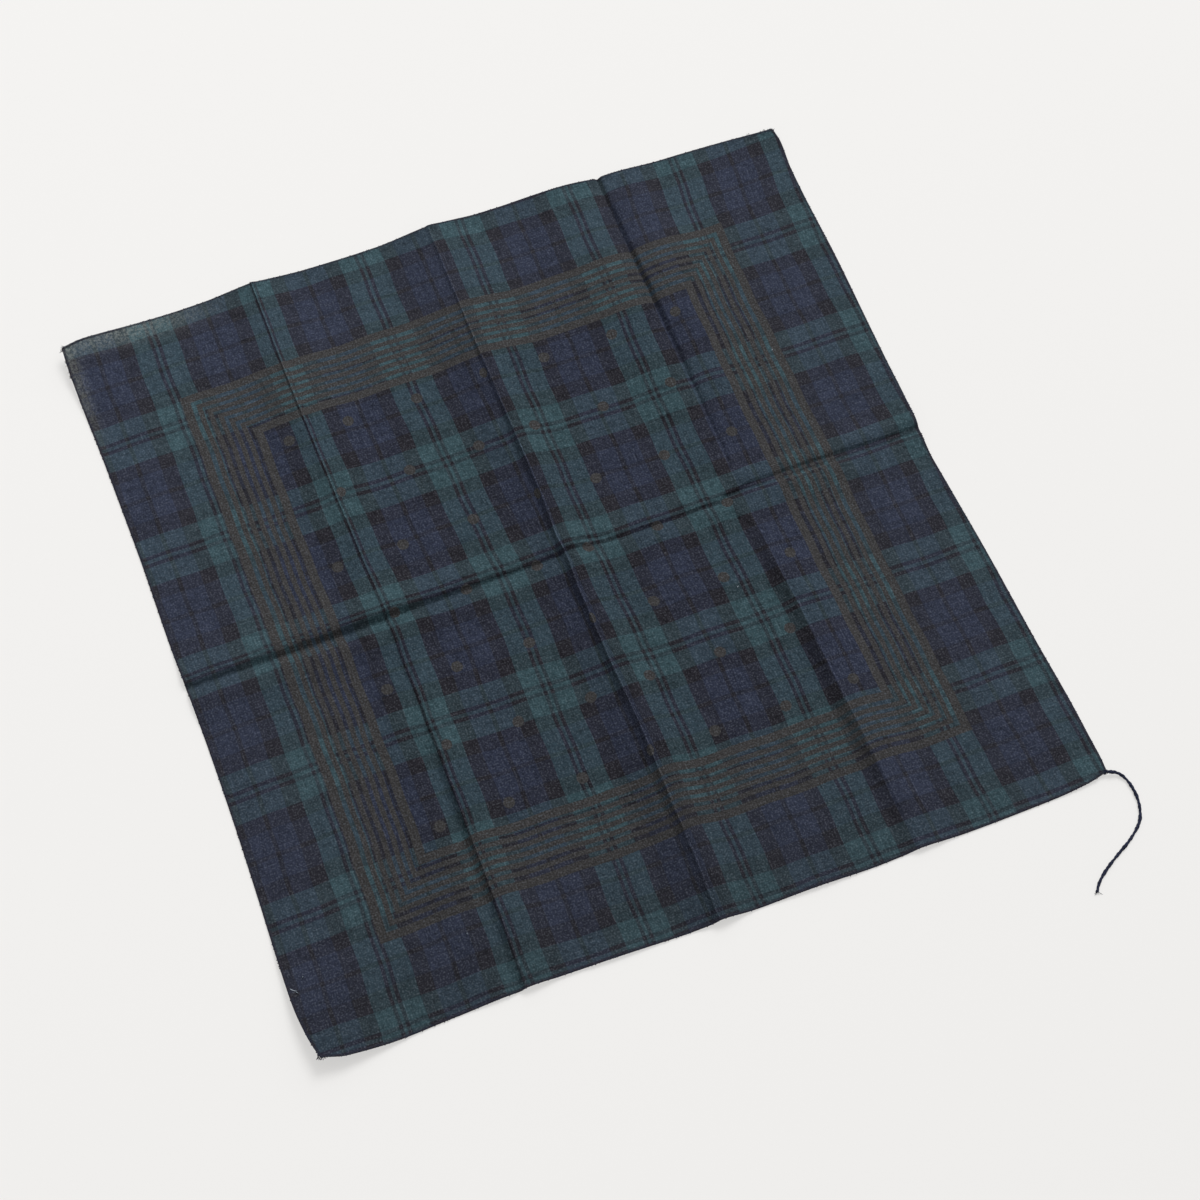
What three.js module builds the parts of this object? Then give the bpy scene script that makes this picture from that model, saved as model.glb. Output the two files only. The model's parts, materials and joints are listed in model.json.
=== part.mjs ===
import * as THREE from 'three';
import { mergeVertices } from 'three/addons/utils/BufferGeometryUtils.js';

// A square bandana, opened out and laid flat, still standing up along the lines it was folded on.
// Millimetres. +X runs along the near edge, +Y away from it, +Z up from the surface it lies on.

// The cloth and its overlocked hem
const CLOTH_THICKNESS = 1.2;
const HEM_THICKNESS = 1.8;
const HEM_WIDTH = 2.3;
const STEEPEST_STRETCH = 2;

// The thread left hanging from the overlocking at the near right corner
const THREAD_DIAMETER = 1.8;
const THREAD_SIDES = 8;
const THREAD_STEPS = 44;

// Colours and finish
const CLOTH_FINISH = { color: 0x2c3f4c, roughness: 0.95, metalness: 0 };
const THREAD_FINISH = { color: 0x141b2c, roughness: 0.85, metalness: 0 };

// Each edge as it lies: at a place along it, how far out it runs from the middle
const LEFT_EDGE = [
  { at: -262.6, out: -259.9 },
  { at: -245, out: -262.8 },
  { at: -225, out: -264.2 },
  { at: -200, out: -263.5 },
  { at: -150, out: -261.2 },
  { at: -85, out: -259.0 },
  { at: -35, out: -258.3 },
  { at: 20, out: -258.8 },
  { at: 100, out: -257.7 },
  { at: 164, out: -258.0 },
  { at: 215, out: -259.1 },
  { at: 240, out: -259.4 },
  { at: 257.2, out: -258.8 },
];
const RIGHT_EDGE = [
  { at: -262.4, out: 263.2 },
  { at: -250, out: 264.1 },
  { at: -222, out: 264.0 },
  { at: -159, out: 261.5 },
  { at: -96, out: 259.6 },
  { at: -43, out: 257.0 },
  { at: -8, out: 255.5 },
  { at: 20, out: 256.6 },
  { at: 50, out: 258.0 },
  { at: 93, out: 258.8 },
  { at: 155, out: 260.0 },
  { at: 197, out: 259.6 },
  { at: 228, out: 260.1 },
  { at: 249, out: 261.7 },
  { at: 261.6, out: 260.1 },
];
const NEAR_EDGE = [
  { at: -259.9, out: -262.6 },
  { at: -243, out: -265.5 },
  { at: -220, out: -266.2 },
  { at: -180, out: -264.7 },
  { at: -119, out: -263.6 },
  { at: -60, out: -265.1 },
  { at: -5, out: -266.5 },
  { at: 57, out: -266.9 },
  { at: 100, out: -267.7 },
  { at: 128, out: -267.1 },
  { at: 170, out: -267.7 },
  { at: 225, out: -266.9 },
  { at: 248, out: -265.3 },
  { at: 263.2, out: -262.4 },
];
const FAR_EDGE = [
  { at: -258.8, out: 257.2 },
  { at: -242, out: 260.5 },
  { at: -212, out: 261.9 },
  { at: -160, out: 264.0 },
  { at: -119, out: 265.3 },
  { at: -60, out: 265.0 },
  { at: 4, out: 266.9 },
  { at: 66, out: 267.7 },
  { at: 97, out: 266.7 },
  { at: 128, out: 265.2 },
  { at: 180, out: 265.5 },
  { at: 225, out: 264.7 },
  { at: 243, out: 263.2 },
  { at: 260.1, out: 261.6 },
];

// The creases. At a place along each one: where its line runs, how high the broad ridge stands
// there, how high the cloth swells on its lower and its upper side and how far either side reaches,
// and how high and how wide the narrow wall is on which the line itself stands up.
const LEFT_CREASE = [
  { at: -265, line: -130, crest: 0.4, humpLow: 1, humpHigh: 1, reachLow: 36, reachHigh: 40,
    wall: 2.4, wallLow: 5.6, wallHigh: 24 },
  { at: -200, line: -127.8, crest: 0.6, humpLow: 1.6, humpHigh: 1.4, reachLow: 36, reachHigh: 40,
    wall: 3.2, wallLow: 6.2, wallHigh: 24 },
  { at: -140, line: -126.3, crest: 0.6, humpLow: 1.6, humpHigh: 1.2, reachLow: 34, reachHigh: 36,
    wall: 3.2, wallLow: 5.8, wallHigh: 24 },
  { at: -65, line: -124.6, crest: 0.4, humpLow: 0.8, humpHigh: 0.8, reachLow: 30, reachHigh: 32,
    wall: 1.7, wallLow: 3.4, wallHigh: 20 },
  { at: 0, line: -123.6, crest: 0.6, humpLow: 0.5, humpHigh: 0.5, reachLow: 28, reachHigh: 28,
    wall: 1, wallLow: 2.6, wallHigh: 16 },
  { at: 55, line: -124, crest: 2, humpLow: 0, humpHigh: 0, reachLow: 28, reachHigh: 32,
    wall: 0.8, wallLow: 1.8, wallHigh: 5 },
  { at: 105, line: -125, crest: 3.2, humpLow: 0, humpHigh: 0, reachLow: 30, reachHigh: 38,
    wall: 0.9, wallLow: 1.6, wallHigh: 5 },
  { at: 175, line: -126.2, crest: 4, humpLow: 0, humpHigh: 0, reachLow: 32, reachHigh: 44,
    wall: 0.9, wallLow: 1.6, wallHigh: 5 },
  { at: 264, line: -125, crest: 3.8, humpLow: 0, humpHigh: 0, reachLow: 36, reachHigh: 40,
    wall: 0.8, wallLow: 1.6, wallHigh: 5 },
];
const MIDDLE_CREASE = [
  { at: -266, line: -4.6, crest: 1.4, humpLow: 0, humpHigh: 1.2, reachLow: 14, reachHigh: 30,
    wall: 2.4, wallLow: 5, wallHigh: 20 },
  { at: -225, line: -3.4, crest: 2.8, humpLow: 0, humpHigh: 1.8, reachLow: 15, reachHigh: 32,
    wall: 3.2, wallLow: 5.4, wallHigh: 24 },
  { at: -185, line: -2.8, crest: 3.4, humpLow: 0, humpHigh: 2, reachLow: 15, reachHigh: 32,
    wall: 3.4, wallLow: 5.8, wallHigh: 24 },
  { at: -130, line: -1.7, crest: 2.8, humpLow: 0, humpHigh: 1.9, reachLow: 16, reachHigh: 32,
    wall: 3.8, wallLow: 6, wallHigh: 26 },
  { at: -78, line: -2.4, crest: 1.8, humpLow: 0, humpHigh: 1.4, reachLow: 18, reachHigh: 34,
    wall: 4.3, wallLow: 6.2, wallHigh: 28 },
  { at: -30, line: -2.2, crest: 1.6, humpLow: 0, humpHigh: 1.4, reachLow: 18, reachHigh: 34,
    wall: 4.7, wallLow: 6, wallHigh: 28 },
  { at: 0, line: -0.9, crest: 1.6, humpLow: 0, humpHigh: 1.2, reachLow: 18, reachHigh: 34,
    wall: 4.5, wallLow: 5.8, wallHigh: 26 },
  { at: 8, line: -2, crest: 2, humpLow: 0, humpHigh: 1.2, reachLow: 18, reachHigh: 34,
    wall: 4.4, wallLow: 5.8, wallHigh: 26 },
  { at: 40, line: 0, crest: 2.6, humpLow: 0, humpHigh: 1.4, reachLow: 22, reachHigh: 34,
    wall: 4.2, wallLow: 5.4, wallHigh: 22 },
  { at: 95, line: 0.5, crest: 3.6, humpLow: 0, humpHigh: 1.4, reachLow: 26, reachHigh: 34,
    wall: 3.4, wallLow: 4.6, wallHigh: 18 },
  { at: 175, line: 1.2, crest: 4.4, humpLow: 0, humpHigh: 1.4, reachLow: 30, reachHigh: 40,
    wall: 2.2, wallLow: 3.6, wallHigh: 14 },
  { at: 266, line: 3, crest: 4.2, humpLow: 0, humpHigh: 0.8, reachLow: 36, reachHigh: 40,
    wall: 1.2, wallLow: 3.2, wallHigh: 12 },
];
const RIGHT_CREASE = [
  { at: -266, line: 131.4, crest: 2.4, humpLow: 0, humpHigh: 0.4, reachLow: 11, reachHigh: 30,
    wall: 0, wallLow: 0.6, wallHigh: 1 },
  { at: -205, line: 129.6, crest: 5, humpLow: 0, humpHigh: 0.8, reachLow: 10.5, reachHigh: 34,
    wall: 0, wallLow: 0.6, wallHigh: 1 },
  { at: -165, line: 128.2, crest: 5.4, humpLow: 0, humpHigh: 1, reachLow: 10.5, reachHigh: 36,
    wall: 0, wallLow: 0.6, wallHigh: 1 },
  { at: -95, line: 127.2, crest: 5.2, humpLow: 0, humpHigh: 1, reachLow: 10, reachHigh: 34,
    wall: 0, wallLow: 0.6, wallHigh: 1 },
  { at: -35, line: 125.2, crest: 3.8, humpLow: 0, humpHigh: 0.8, reachLow: 9.5, reachHigh: 30,
    wall: 0, wallLow: 0.6, wallHigh: 1 },
  { at: 0, line: 125, crest: 1, humpLow: 0.4, humpHigh: 0.5, reachLow: 16, reachHigh: 26,
    wall: 0, wallLow: 0.6, wallHigh: 1 },
  { at: 40, line: 126.6, crest: 1, humpLow: 0.6, humpHigh: 0.8, reachLow: 34, reachHigh: 34,
    wall: -0.8, wallLow: 2.4, wallHigh: 2.6 },
  { at: 95, line: 127.2, crest: 1.8, humpLow: 1.6, humpHigh: 2, reachLow: 40, reachHigh: 40,
    wall: -1.6, wallLow: 3, wallHigh: 3.4 },
  { at: 175, line: 127.4, crest: 2.8, humpLow: 2.8, humpHigh: 3.4, reachLow: 66, reachHigh: 62,
    wall: -2.6, wallLow: 3.4, wallHigh: 4 },
  { at: 265, line: 127.6, crest: 2.4, humpLow: 2.4, humpHigh: 1.6, reachLow: 70, reachHigh: 50,
    wall: -2.2, wallLow: 3.4, wallHigh: 4 },
];
const CROSS_CREASE = [
  { at: -259, line: -0.8, crest: 0, humpLow: 2, humpHigh: 1.2, reachLow: 30, reachHigh: 34,
    wall: 2.6, wallLow: 4, wallHigh: 16 },
  { at: -225, line: 0.2, crest: 0, humpLow: 2.4, humpHigh: 1.6, reachLow: 31, reachHigh: 35,
    wall: 3.2, wallLow: 4.6, wallHigh: 16 },
  { at: -175, line: 0.8, crest: 0, humpLow: 2.8, humpHigh: 1.8, reachLow: 32, reachHigh: 36,
    wall: 4.2, wallLow: 5, wallHigh: 18 },
  { at: -130, line: 1.5, crest: 0, humpLow: 2.8, humpHigh: 1.8, reachLow: 30, reachHigh: 34,
    wall: 4.8, wallLow: 5.2, wallHigh: 18 },
  { at: -90, line: 2.5, crest: 0, humpLow: 2.2, humpHigh: 1.4, reachLow: 28, reachHigh: 30,
    wall: 3.6, wallLow: 4.6, wallHigh: 18 },
  { at: -40, line: 2.6, crest: 0, humpLow: 1.6, humpHigh: 1, reachLow: 28, reachHigh: 28,
    wall: 2.2, wallLow: 3.6, wallHigh: 16 },
  { at: -6, line: 2.9, crest: 0, humpLow: 1.2, humpHigh: 0.8, reachLow: 26, reachHigh: 26,
    wall: 1.7, wallLow: 3.4, wallHigh: 14 },
  { at: 60, line: 2.6, crest: 0, humpLow: 1.2, humpHigh: 0.8, reachLow: 26, reachHigh: 26,
    wall: 1.7, wallLow: 3.4, wallHigh: 14 },
  { at: 104, line: 3.2, crest: 0, humpLow: 1.2, humpHigh: 0.8, reachLow: 24, reachHigh: 24,
    wall: 1.7, wallLow: 3.4, wallHigh: 14 },
  { at: 135, line: 9, crest: 0, humpLow: 1.2, humpHigh: 0.8, reachLow: 24, reachHigh: 24,
    wall: 1.7, wallLow: 3, wallHigh: 14 },
  { at: 165, line: 9.8, crest: 0, humpLow: 1.4, humpHigh: 1, reachLow: 24, reachHigh: 24,
    wall: 1.8, wallLow: 3.2, wallHigh: 14 },
  { at: 210, line: 9.2, crest: 0, humpLow: 1.4, humpHigh: 1, reachLow: 24, reachHigh: 24,
    wall: 2, wallLow: 3, wallHigh: 14 },
  { at: 259, line: 8, crest: 0, humpLow: 1.2, humpHigh: 1.2, reachLow: 22, reachHigh: 24,
    wall: 1.6, wallLow: 2.8, wallHigh: 14 },
];

// Corners and stretches of edge that curl up off the surface: the highest place and its reach
const LIFTS = [
  { x: -282, y: -282, height: 12.5, reachX: 90, reachY: 120 },
  { x: -282, y: 276, height: 11, reachX: 110, reachY: 80 },
  { x: 282, y: 280, height: 5, reachX: 60, reachY: 60 },
  { x: 280, y: -284, height: 3, reachX: 62, reachY: 62 },
  { x: 262, y: 22, height: 3, reachX: 44, reachY: 40 },
  { x: -75, y: -276, height: 2, reachX: 46, reachY: 34 },
  { x: 60, y: -276, height: 1.8, reachX: 40, reachY: 30 },
];

// Rulings of the mesh: steps in from an edge, steps off a crease, and how many lie between them
const EDGE_STEPS = [HEM_WIDTH, HEM_WIDTH + 1, 10, 22];
const CREASE_STEPS = [1.2, 2.8, 5.5, 10, 16, 24];
const INNER_COLUMNS = 2;
const INNER_ROWS = 5;

// Route of the loose thread's centre line, from the corner down on to the surface
const THREAD_ROUTE = [
  [263.7, -262.6, 2.6],
  [266.0, -263.4, 2.4],
  [268.4, -264.7, 2.0],
  [270.5, -266.8, 1.5],
  [272.0, -269.5, 1.15],
  [273.0, -272.8, 0.98],
  [273.5, -276.6, 0.92],
  [273.6, -280.5, 0.92],
  [273.3, -284.4, 0.92],
  [272.5, -288.4, 0.92],
  [271.2, -292.2, 0.92],
  [269.6, -295.7, 0.92],
  [267.6, -298.7, 0.92],
  [265.0, -301.4, 0.92],
  [261.1, -304.5, 0.92],
  [256.8, -307.4, 0.92],
  [252.4, -310.0, 0.92],
  [247.6, -312.4, 0.92],
  [242.9, -314.9, 0.92],
  [238.3, -317.4, 0.92],
  [234.0, -320.0, 0.92],
  [230.1, -322.6, 0.92],
  [226.8, -325.2, 0.92],
  [224.0, -328.0, 0.92],
  [221.6, -331.3, 0.92],
];

// Reads a column of a table at a place between its rows, smoothly and without overshoot
function read(rows, place, column) {
  const last = rows.length - 1;
  if (place <= rows[0].at) {
    return rows[0][column];
  }
  if (place >= rows[last].at) {
    return rows[last][column];
  }
  let row = 0;
  while (rows[row + 1].at < place) {
    row += 1;
  }
  const rise = (i) => (rows[i + 1][column] - rows[i][column]) / (rows[i + 1].at - rows[i].at);
  const slope = (i) => {
    if (i === 0) {
      return rise(0);
    }
    if (i === last) {
      return rise(last - 1);
    }
    const agree = rise(i - 1) * rise(i);
    return agree > 0 ? (2 * agree) / (rise(i - 1) + rise(i)) : 0;
  };
  const step = rows[row + 1].at - rows[row].at;
  const t = (place - rows[row].at) / step;
  const ease = t * t * (3 - 2 * t);
  const level = rows[row][column] * (1 - ease) + rows[row + 1][column] * ease;
  const lean = slope(row) * t * (1 - t) ** 2 - slope(row + 1) * t * t * (1 - t);
  return level + lean * step;
}

// Share of a crest's height left at a share of its reach: sharp on the line, soft at the foot
function tent(t) {
  return t < 1 ? (1 - t) ** 2 * (1 + t) : 0;
}

// Swelling beside a line that lies low: nothing on the line, 1 at a third of the reach
function hump(t) {
  return t < 1 ? 6.75 * t * (1 - t) ** 2 : 0;
}

// A round swelling, 1 in the middle and nothing at its reach
function bell(offset, reach) {
  const t = Math.max(0, 1 - Math.abs(offset) / reach);
  return t * t * (3 - 2 * t);
}

// Share of a narrow wall's height: an edge above a hollow flank, or a rounded shoulder
function steep(t) {
  return t < 1 ? (1 - t) ** 2 : 0;
}

function shoulder(t) {
  return t < 1 ? (1 - t) ** 2 * (1 + 2 * t) : 0;
}

// Height that one crease gives the cloth
function creaseHeight(rows, along, across, lowFlank) {
  const offset = across - read(rows, along, 'line');
  const side = offset < 0 ? 'Low' : 'High';
  const away = Math.abs(offset);
  const wallWidth = read(rows, along, `wall${side}`);
  const beyond = offset < 0 ? Math.max(away - wallWidth, 0) : away;
  const t = beyond / read(rows, along, `reach${side}`);
  const broad = read(rows, along, 'crest') * tent(t) + read(rows, along, `hump${side}`) * hump(t);
  const flank = offset < 0 ? lowFlank : shoulder;
  return broad + read(rows, along, 'wall') * flank(away / wallWidth);
}

// Height of the underside of the cloth above the surface
function clothHeight(x, y) {
  let height = creaseHeight(CROSS_CREASE, x, y, shoulder);
  for (const crease of [LEFT_CREASE, MIDDLE_CREASE, RIGHT_CREASE]) {
    height += creaseHeight(crease, y, x, steep);
  }
  for (const lift of LIFTS) {
    height += lift.height * bell(x - lift.x, lift.reachX) * bell(y - lift.y, lift.reachY);
  }
  return height;
}

// How much a slope lengthens an upright through the cloth, so that it keeps its thickness
function slopeStretch(x, y) {
  const probe = 0.5;
  const slopeX = (clothHeight(x + probe, y) - clothHeight(x - probe, y)) / (2 * probe);
  const slopeY = (clothHeight(x, y + probe) - clothHeight(x, y - probe)) / (2 * probe);
  return Math.min(Math.hypot(1, slopeX, slopeY), STEEPEST_STRETCH);
}

// The rulings across a run of lines, from the first edge over each crease to the last edge
function rulings(lineCount, innerCount) {
  const list = [];
  for (let i = 0; i < lineCount - 1; i += 1) {
    const leave = i === 0 ? EDGE_STEPS : CREASE_STEPS;
    const arrive = i === lineCount - 2 ? EDGE_STEPS : CREASE_STEPS;
    const start = leave[leave.length - 1];
    const end = arrive[arrive.length - 1];
    list.push((lines) => lines[i]);
    for (const step of leave) {
      list.push((lines) => lines[i] + step);
    }
    for (let k = 1; k <= innerCount; k += 1) {
      const share = k / (innerCount + 1);
      list.push((lines) => (lines[i] + start) * (1 - share) + (lines[i + 1] - end) * share);
    }
    for (const step of [...arrive].reverse()) {
      list.push((lines) => lines[i + 1] - step);
    }
  }
  list.push((lines) => lines[lineCount - 1]);
  return list;
}

// Where the edges and creases run: across the cloth at a height y, and up it at a place x
function linesAcross(y) {
  return [
    read(LEFT_EDGE, y, 'out'),
    read(LEFT_CREASE, y, 'line'),
    read(MIDDLE_CREASE, y, 'line'),
    read(RIGHT_CREASE, y, 'line'),
    read(RIGHT_EDGE, y, 'out'),
  ];
}

function linesUp(x) {
  return [read(NEAR_EDGE, x, 'out'), read(CROSS_CREASE, x, 'line'), read(FAR_EDGE, x, 'out')];
}

function clothGeometry() {
  const columns = rulings(5, INNER_COLUMNS);
  const rows = rulings(3, INNER_ROWS);
  const columnCount = columns.length - 1;
  const rowCount = rows.length - 1;
  const settlingRounds = 6;

  const box = new THREE.BoxGeometry(1, 1, 1, columnCount, rowCount, 1);
  box.deleteAttribute('normal');
  box.deleteAttribute('uv');
  const geometry = mergeVertices(box);
  const points = geometry.getAttribute('position');

  for (let i = 0; i < points.count; i += 1) {
    const column = Math.round((points.getX(i) + 0.5) * columnCount);
    const row = Math.round((points.getY(i) + 0.5) * rowCount);
    const onTop = points.getZ(i) > 0;
    let x = columns[column](linesAcross(0));
    let y = rows[row](linesUp(x));
    for (let round = 0; round < settlingRounds; round += 1) {
      x = columns[column](linesAcross(y));
      y = rows[row](linesUp(x));
    }
    const inHem = Math.min(column, row, columnCount - column, rowCount - row) < 2;
    const thickness = inHem ? HEM_THICKNESS : CLOTH_THICKNESS;
    const under = clothHeight(x, y);
    points.setXYZ(i, x, y, onTop ? under + thickness * slopeStretch(x, y) : under);
  }
  geometry.computeVertexNormals();
  return geometry;
}

function threadGeometry() {
  const route = new THREE.CatmullRomCurve3(THREAD_ROUTE.map((point) => new THREE.Vector3(...point)));
  const section = new THREE.Shape(
    new THREE.EllipseCurve(0, 0, THREAD_DIAMETER / 2, THREAD_DIAMETER / 2)
      .getPoints(THREAD_SIDES)
      .slice(0, THREAD_SIDES),
  );
  return new THREE.ExtrudeGeometry(section, { steps: THREAD_STEPS, extrudePath: route });
}

function piece(name, geometry, finish) {
  const mesh = new THREE.Mesh(geometry, new THREE.MeshStandardMaterial(finish));
  mesh.name = name;
  return mesh;
}

const bandana = new THREE.Group();
bandana.name = 'bandana';
bandana.add(piece('cloth', clothGeometry(), CLOTH_FINISH));
bandana.add(piece('thread_tail', threadGeometry(), THREAD_FINISH));

export default bandana;
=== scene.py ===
"""A square tartan bandana, opened out and laid flat, with the creases it was folded on.

Sizes, places and heights are in millimetres unless they say metres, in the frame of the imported
part, and meshes are made in metres. +X runs along the near edge, +Y away from it and +Z up.
"""

from __future__ import annotations

import json
import logging
import math
import random
from dataclasses import dataclass
from enum import Enum

import bmesh
import bpy
import numpy as np
from bpy.types import Material, Mesh, Node, NodeSocket, Object
from mathutils import Matrix, Vector

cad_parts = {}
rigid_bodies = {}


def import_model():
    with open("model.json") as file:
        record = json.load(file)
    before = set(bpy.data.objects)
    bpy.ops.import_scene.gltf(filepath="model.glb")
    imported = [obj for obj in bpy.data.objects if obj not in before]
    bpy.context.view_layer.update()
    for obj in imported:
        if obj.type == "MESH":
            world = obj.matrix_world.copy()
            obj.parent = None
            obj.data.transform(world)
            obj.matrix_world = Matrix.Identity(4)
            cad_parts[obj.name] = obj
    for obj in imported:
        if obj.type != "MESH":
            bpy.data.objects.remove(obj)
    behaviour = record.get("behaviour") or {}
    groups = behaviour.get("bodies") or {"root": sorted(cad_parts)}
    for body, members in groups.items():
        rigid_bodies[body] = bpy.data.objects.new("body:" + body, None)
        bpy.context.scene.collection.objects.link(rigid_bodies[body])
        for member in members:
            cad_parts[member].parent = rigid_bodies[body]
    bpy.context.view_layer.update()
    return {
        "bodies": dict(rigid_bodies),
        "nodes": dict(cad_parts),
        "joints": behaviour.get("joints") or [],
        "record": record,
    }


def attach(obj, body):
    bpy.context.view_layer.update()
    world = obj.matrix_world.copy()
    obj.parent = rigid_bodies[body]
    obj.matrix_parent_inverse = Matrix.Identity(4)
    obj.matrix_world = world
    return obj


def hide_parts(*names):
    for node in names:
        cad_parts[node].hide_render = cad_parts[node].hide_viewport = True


Array = np.ndarray
Triple = tuple[float, float, float]
MM = 0.001
LOG = logging.getLogger("bandana")


def linear(red: float, green: float, blue: float) -> Triple:
    """Turns a colour as seen on a screen, each part up to 255, into linear light up to 1."""
    shares = (red / 255, green / 255, blue / 255)
    return tuple(s / 12.92 if s <= 0.04045 else ((s + 0.055) / 1.055) ** 2.4 for s in shares)


# ---- Shader expressions ----


class Value:
    """A number that varies over a surface, which Python operators turn into Math nodes."""

    def __init__(self, board: Board, socket: NodeSocket) -> None:
        """Keeps the socket that gives the number, and the board that it is on."""
        self.board = board
        self.socket = socket

    def math(self, operation: str, *others: Value | float) -> Value:
        """Adds a Math node that starts with this value, and takes its result."""
        return self.board.math(operation, self, *others)

    def __add__(self, other: Value | float) -> Value:
        """This value plus another."""
        return self.math("ADD", other)

    __radd__ = __add__

    def __sub__(self, other: Value | float) -> Value:
        """This value less another."""
        return self.math("SUBTRACT", other)

    def __rsub__(self, other: float) -> Value:
        """A number less this value."""
        return self.board.math("SUBTRACT", other, self)

    def __mul__(self, other: Value | float) -> Value:
        """This value times another."""
        return self.math("MULTIPLY", other)

    __rmul__ = __mul__

    def __truediv__(self, other: Value | float) -> Value:
        """This value divided by another."""
        return self.math("DIVIDE", other)

    def __abs__(self) -> Value:
        """This value without its sign."""
        return self.math("ABSOLUTE")

    def __lt__(self, other: Value | float) -> Value:
        """1 where this value is below another, else 0."""
        return self.math("LESS_THAN", other)

    def clear_of(self, edge: float, blur: float) -> Value:
        """Rises softly from 0 to 1, over the blur, as this value passes an edge."""
        inputs = {"Value": self, "From Min": edge - blur / 2, "From Max": edge + blur / 2}
        return self.board.value("ShaderNodeMapRange", {"interpolation_type": "SMOOTHSTEP"}, inputs)


class Board:
    """The node tree of one material, and the ways that nodes are added to it."""

    def __init__(self, name: str) -> None:
        """Makes an empty material of that name.

        Args:
            name: The material's name.
        """
        self.material = bpy.data.materials.new(name)
        self.material.use_nodes = True
        self.tree = self.material.node_tree
        self.tree.nodes.clear()

    def node(
        self,
        kind: str,
        settings: dict[str, object] | None = None,
        inputs: dict[str | int, object] | None = None,
    ) -> Node:
        """Adds a node of any kind.

        Args:
            kind: The node's type.
            settings: The node's own settings, which are set first.
            inputs: The numbers, colours or links of its sockets, by name or place.

        Returns:
            The node.
        """
        node = self.tree.nodes.new(kind)
        for name, setting in (settings or {}).items():
            setattr(node, name, setting)
        for name, given in (inputs or {}).items():
            socket = node.inputs[name]
            if isinstance(given, Value):
                given = given.socket
            if isinstance(given, NodeSocket):
                self.tree.links.new(given, socket)
            else:
                socket.default_value = given
        return node

    def ramp(self, stops: list[tuple[float, tuple[float, ...]]], at: Value) -> NodeSocket:
        """Reads a run of colours.

        Args:
            stops: Each stop's place, from 0 to 1, and its colour.
            at: Where the run is read.

        Returns:
            The colour there.
        """
        node = self.node("ShaderNodeValToRGB", {}, {0: at})
        listed = node.color_ramp.elements
        while len(listed) < len(stops):
            listed.new(1.0)
        for element, (place, colour) in zip(listed, stops, strict=True):
            element.position = place
            element.color = (*colour, 1.0)
        return node.outputs[0]

    def value(
        self, kind: str, settings: dict[str, object], inputs: dict[str | int, object]
    ) -> Value:
        """Adds a node and takes the number that it gives first."""
        return Value(self, self.node(kind, settings, inputs).outputs[0])

    def math(self, operation: str, *terms: Value | float) -> Value:
        """Adds a Math node and takes its result."""
        return self.value("ShaderNodeMath", {"operation": operation}, dict(enumerate(terms)))

    def vector(self, operation: str, *terms: object) -> NodeSocket:
        """Adds a Vector Math node and takes the vector that it gives."""
        settings = {"operation": operation}
        return self.node("ShaderNodeVectorMath", settings, dict(enumerate(terms))).outputs[0]

    def scaled(self, vector: object, factor: Value | float) -> NodeSocket:
        """Multiplies a vector or a colour by a number."""
        inputs = {"Vector": vector, "Scale": factor}
        return self.node("ShaderNodeVectorMath", {"operation": "SCALE"}, inputs).outputs[0]

    def split(self, vector: NodeSocket) -> tuple[Value, Value, Value]:
        """Takes a vector apart into its three numbers."""
        node = self.node("ShaderNodeSeparateXYZ", {}, {0: vector})
        return tuple(Value(self, output) for output in node.outputs)

    def noise(
        self,
        place: object,
        scale: float | tuple[float, float],
        detail: float = 0.0,
        rough: float = 0.5,
        space: str = "2D",
    ) -> Value:
        """Adds a noise, from about 0.2 to 0.8.

        Args:
            place: The vector that it reads.
            scale: How many blotches fit in one unit, or how many across and how many up.
            detail: How many finer layers it has.
            rough: How strong those are.
            space: "2D" on a flat layout, "3D" in space.

        Returns:
            The noise.
        """
        if isinstance(scale, tuple):
            place, scale = self.vector("MULTIPLY", place, (*scale, 1.0)), 1.0
        inputs = {"Vector": place, "Scale": scale, "Detail": detail, "Roughness": rough}
        return self.value("ShaderNodeTexNoise", {"noise_dimensions": space}, inputs)

    def mix(self, share: Value | float, first: object, second: object) -> NodeSocket:
        """Mixes two colours.

        Args:
            share: How much of the second there is, from 0 to 1.
            first: The first colour.
            second: The second colour.

        Returns:
            The mixed colour.
        """
        inputs = {0: share}
        for place, colour in ((6, first), (7, second)):
            inputs[place] = (*colour, 1.0) if isinstance(colour, tuple) else colour
        return self.node("ShaderNodeMix", {"data_type": "RGBA"}, inputs).outputs[2]

    def finish(self, shader: dict[str, object]) -> Material:
        """Adds the surface shader and the material's output.

        Args:
            shader: The Principled shader's numbers, colours and links.

        Returns:
            The material.
        """
        surface = self.node("ShaderNodeBsdfPrincipled", {}, shader)
        self.node("ShaderNodeOutputMaterial", {}, {"Surface": surface.outputs[0]})
        return self.material


# ---- Tables and the shape of the cloth ----


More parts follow.
